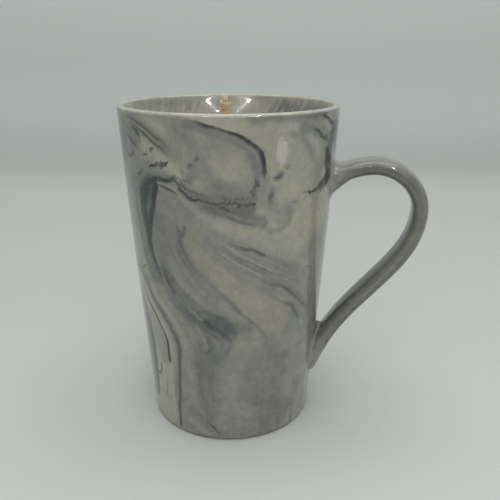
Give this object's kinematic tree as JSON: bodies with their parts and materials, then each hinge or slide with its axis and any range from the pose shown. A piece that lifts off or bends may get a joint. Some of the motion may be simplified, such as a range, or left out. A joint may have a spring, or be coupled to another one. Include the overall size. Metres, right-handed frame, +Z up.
{
  "type": "mug candle",
  "caption": "Tall tapered ceramic mug with a strap handle, marbled grey glaze, filled with wax round a braided wick.",
  "frame": {"origin": "centre of the foot ring, on the plane the mug stands on", "axes": "+Z up along the mug's axis; +X towards the handle; +Y completes the right-handed set"},
  "size_m": [0.1246, 0.088, 0.137],
  "materials": {
    "marbled_glaze": "glossy clear glaze over grey, cream and charcoal marbling",
    "wax": "off-white soy wax, soft satin, slightly frosted",
    "wick_yarn": "tan braided yarn with a pale frayed tip",
    "tinned_steel": "thin tinned steel, satin"
  },
  "bodies": {
    "root": {"mug": "marbled_glaze", "wax_fill": "wax", "wick": "wick_yarn", "wick_sustainer": "tinned_steel"}
  },
  "joints": []
}
